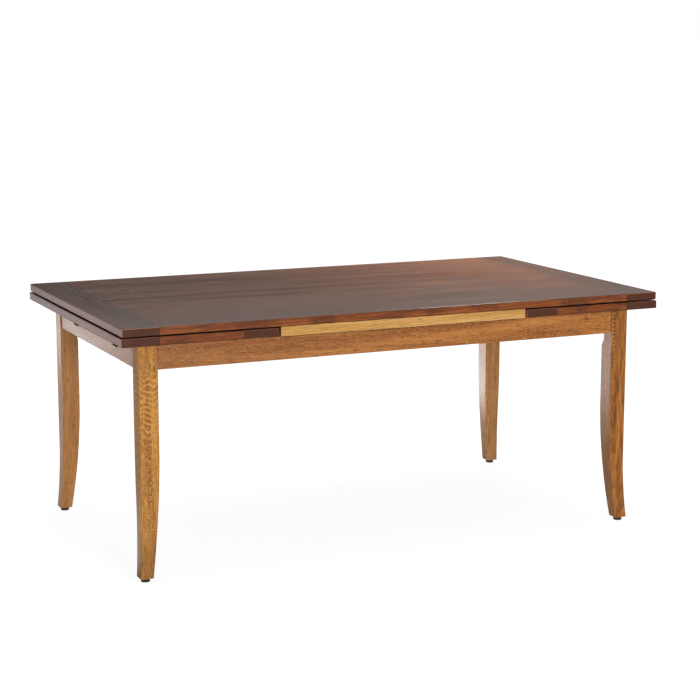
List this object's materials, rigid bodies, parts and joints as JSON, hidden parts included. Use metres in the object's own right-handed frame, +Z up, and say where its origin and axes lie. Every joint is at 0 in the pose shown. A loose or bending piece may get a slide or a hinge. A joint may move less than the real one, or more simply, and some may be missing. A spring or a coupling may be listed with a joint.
{
  "type": "draw leaf table",
  "caption": "Rectangular oak dining table with breadboard ends, outswept square legs and draw leaves that climb from under a floating top on tapered runners.",
  "frame": {"origin": "on the floor, under the middle of the top", "axes": "+X along the table towards its right end, +Y across it towards the back, +Z up; the pictured front is -Y"},
  "size_m": [1.784, 1.016, 0.762],
  "materials": {
    "top_oak": "dark brown stain under satin lacquer",
    "breadboard_oak": "dark brown stain under satin lacquer, grain across the table",
    "frame_oak": "golden brown stained quarter-sawn oak under satin lacquer",
    "board_oak": "lighter golden oak under satin lacquer",
    "runner_wood": "planed hardwood, waxed",
    "steel": "zinc plated",
    "glide": "moulded dark brown",
    "felt": "pressed brown felt"
  },
  "bodies": {
    "base": {"leg_front_left": "frame_oak", "foot_glide_front_left": "glide", "corner_block_front_left": "runner_wood", "leg_front_right": "frame_oak", "foot_glide_front_right": "glide", "corner_block_front_right": "runner_wood", "leg_back_left": "frame_oak", "foot_glide_back_left": "glide", "corner_block_back_left": "runner_wood", "leg_back_right": "frame_oak", "foot_glide_back_right": "glide", "corner_block_back_right": "runner_wood", "side_apron_front": "frame_oak", "side_apron_back": "frame_oak", "end_apron_left": "frame_oak", "end_apron_right": "frame_oak", "slide_guide_rail": "runner_wood", "centre_board": "board_oak", "leg_bolts": "steel", "leg_bolt_washers": "steel", "leg_bolt_nuts": "steel", "centre_board_screws": "steel"},
    "left_leaf": {"left_leaf_panel": "top_oak", "left_leaf_outer_breadboard": "breadboard_oak", "left_leaf_inner_breadboard": "breadboard_oak", "left_runner_front": "runner_wood", "left_runner_back": "runner_wood", "left_runner_stops": "runner_wood", "left_leaf_screws": "steel"},
    "right_leaf": {"right_leaf_panel": "top_oak", "right_leaf_outer_breadboard": "breadboard_oak", "right_leaf_inner_breadboard": "breadboard_oak", "right_runner_front": "runner_wood", "right_runner_back": "runner_wood", "right_runner_stops": "runner_wood", "right_leaf_screws": "steel"},
    "left_bumpers": {"left_bumpers": "felt"},
    "top": {"top_panel": "top_oak", "top_breadboard_left": "breadboard_oak", "top_breadboard_right": "breadboard_oak", "top_pegs": "runner_wood", "right_bumpers": "felt"}
  },
  "joints": [
    {"name": "left_leaf_draw", "type": "slide", "parent": "base", "child": "left_leaf", "axis": [-0.9984, 0, 0.0572], "range_m": [0, 0.48079]},
    {"name": "right_leaf_draw", "type": "slide", "parent": "base", "child": "right_leaf", "axis": [0.9984, 0, 0.0572], "range_m": [0, 0.48079]},
    {"name": "top_left_lift", "type": "hinge", "parent": "base", "child": "left_bumpers", "pos_m": [0.882, 0, 0.738], "axis": [0, 1, 0], "range_deg": [0, 0.911]},
    {"name": "top_right_lift", "type": "hinge", "parent": "left_bumpers", "child": "top", "pos_m": [-0.882, 0, 0.738], "axis": [0, -1, 0], "range_deg": [0, 0.911]}
  ],
  "couplings": [
    {"joint": "top_left_lift", "follows": "left_leaf_draw", "rad_per_m": 0.032722},
    {"joint": "top_right_lift", "follows": "right_leaf_draw", "rad_per_m": 0.032722}
  ]
}
